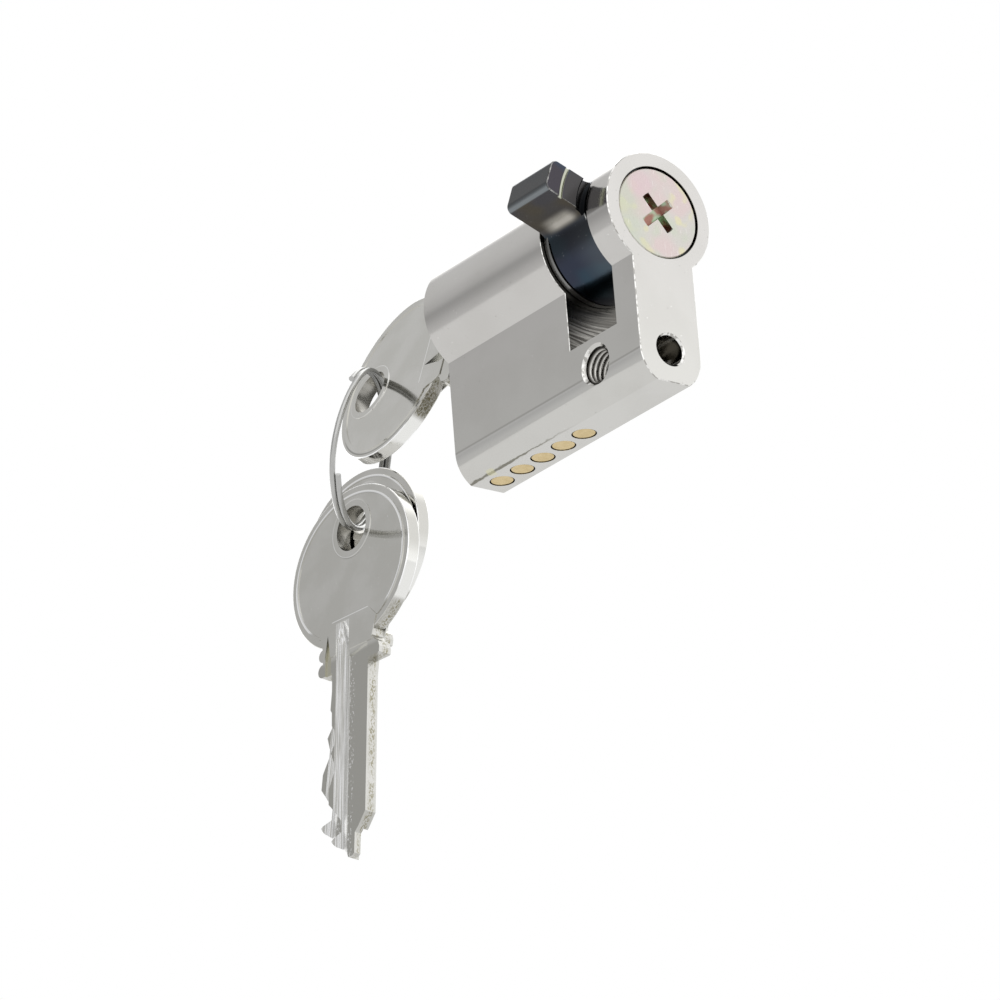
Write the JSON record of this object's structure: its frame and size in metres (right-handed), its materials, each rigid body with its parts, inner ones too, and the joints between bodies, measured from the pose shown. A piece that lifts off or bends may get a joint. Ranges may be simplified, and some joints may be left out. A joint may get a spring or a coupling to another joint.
{
  "type": "lock cylinder",
  "caption": "Half-profile pin tumbler lock cylinder with a key in its turned plug and spare keys on a split ring.",
  "frame": {"origin": "centre of the fixing hole, midway between the slab's two sides", "axes": "+X along the fixing hole across the slab, +Y along the plug to the screw end, +Z from the slab up to the plug"},
  "size_m": [0.0227, 0.0811, 0.0786],
  "materials": {
    "nickel_plated_body": "satin nickel plate",
    "nickel_plated_plug": "satin nickel plate",
    "nickel_plated_key": "bright nickel plate",
    "stopper_brass": "turned, satin",
    "pin_brass": "turned",
    "blackened_cam": "blackened, with blue and violet heat tints",
    "zinc_plated_screw": "zinc plate with an iridescent yellow passivate",
    "clip_steel": "oiled spring steel",
    "spring_wire": "drawn spring wire",
    "ring_wire": "bright drawn wire"
  },
  "bodies": {
    "housing": {"cylinder_body": "nickel_plated_body", "chamber_plug_1": "stopper_brass", "chamber_plug_2": "stopper_brass", "chamber_plug_3": "stopper_brass", "chamber_plug_4": "stopper_brass", "chamber_plug_5": "stopper_brass", "pin_spring_1": "spring_wire", "pin_spring_2": "spring_wire", "pin_spring_3": "spring_wire", "pin_spring_4": "spring_wire", "pin_spring_5": "spring_wire"},
    "core": {"plug": "nickel_plated_plug", "retaining_ring": "clip_steel", "cam": "blackened_cam", "retaining_screw": "zinc_plated_screw", "key_1": "nickel_plated_key", "key_pin_1": "pin_brass", "key_pin_2": "pin_brass", "key_pin_3": "pin_brass", "key_pin_4": "pin_brass", "key_pin_5": "pin_brass"},
    "driver_1": {"driver_pin_1": "pin_brass"},
    "driver_2": {"driver_pin_2": "pin_brass"},
    "driver_3": {"driver_pin_3": "pin_brass"},
    "driver_4": {"driver_pin_4": "pin_brass"},
    "driver_5": {"driver_pin_5": "pin_brass"},
    "ring": {"key_ring": "ring_wire"},
    "loose_key_2": {"key_2": "nickel_plated_key"},
    "loose_key_3": {"key_3": "nickel_plated_key"}
  },
  "joints": [
    {"name": "plug_turn", "type": "hinge", "parent": "housing", "child": "core", "pos_m": [0, 0, 0.019], "axis": [0, 1, 0], "continuous": true},
    {"name": "driver_1_slide", "type": "slide", "parent": "housing", "child": "driver_1", "axis": [0, 0, -1], "range_m": [0, 0.0028], "stiffness_N_per_m": 80, "springref_m": -0.003, "deforming": ["pin_spring_1"]},
    {"name": "driver_2_slide", "type": "slide", "parent": "housing", "child": "driver_2", "axis": [0, 0, -1], "range_m": [0, 0.0028], "stiffness_N_per_m": 80, "springref_m": -0.003, "deforming": ["pin_spring_2"]},
    {"name": "driver_3_slide", "type": "slide", "parent": "housing", "child": "driver_3", "axis": [0, 0, -1], "range_m": [0, 0.0028], "stiffness_N_per_m": 80, "springref_m": -0.003, "deforming": ["pin_spring_3"]},
    {"name": "driver_4_slide", "type": "slide", "parent": "housing", "child": "driver_4", "axis": [0, 0, -1], "range_m": [0, 0.0028], "stiffness_N_per_m": 80, "springref_m": -0.003, "deforming": ["pin_spring_4"]},
    {"name": "driver_5_slide", "type": "slide", "parent": "housing", "child": "driver_5", "axis": [0, 0, -1], "range_m": [0, 0.0028], "stiffness_N_per_m": 80, "springref_m": -0.003, "deforming": ["pin_spring_5"]},
    {"name": "ring_swing", "type": "hinge", "parent": "core", "child": "ring", "pos_m": [0.00089, -0.0526, 0.01656], "axis": [0.9397, 0, 0.342], "range_deg": [-60, 30]},
    {"name": "key_2_swing", "type": "hinge", "parent": "ring", "child": "loose_key_2", "pos_m": [0.00215, -0.05723, -0.00183], "axis": [0.9961, 0.04, 0.0785], "range_deg": [-60, 60]},
    {"name": "key_3_swing", "type": "hinge", "parent": "ring", "child": "loose_key_3", "pos_m": [-0.00061, -0.05771, 0.00141], "axis": [0.9961, 0.04, 0.0785], "range_deg": [-60, 60]}
  ]
}
